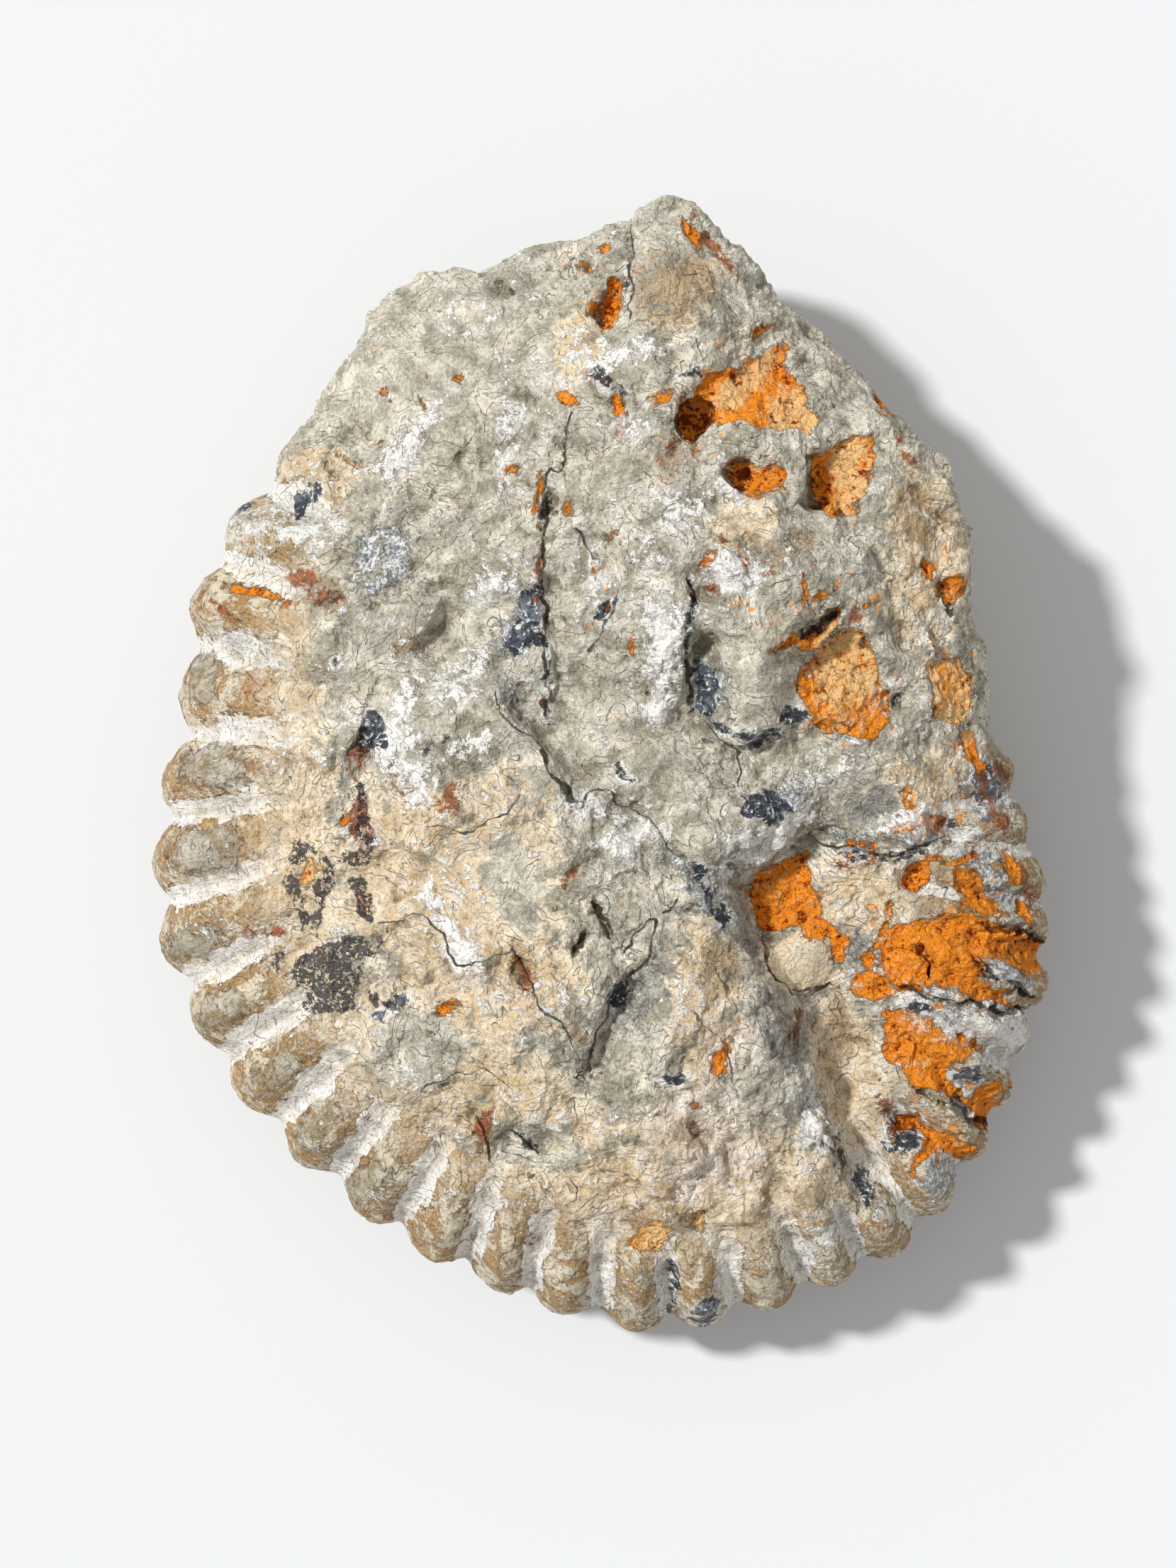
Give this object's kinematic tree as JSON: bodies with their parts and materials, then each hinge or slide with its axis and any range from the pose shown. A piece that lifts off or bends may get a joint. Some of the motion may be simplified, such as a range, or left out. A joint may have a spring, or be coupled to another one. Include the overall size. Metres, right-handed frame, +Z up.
{
  "type": "fossil ammonite",
  "caption": "Lump of broken limestone with the ribbed outer whorl of a coiled shell round its edge, iron-stained, lying flat on one flank.",
  "frame": {"origin": "centre of the footprint, on the ground that the stone lies on", "axes": "+Z up out of the broken upper flank, +Y towards the pointed end of the stone"},
  "size_m": [0.0949, 0.1192, 0.0413],
  "materials": {
    "limestone": "matt broken rock with chalky and rust-stained patches"
  },
  "bodies": {
    "root": {"fossil_ammonite": "limestone"}
  },
  "joints": []
}
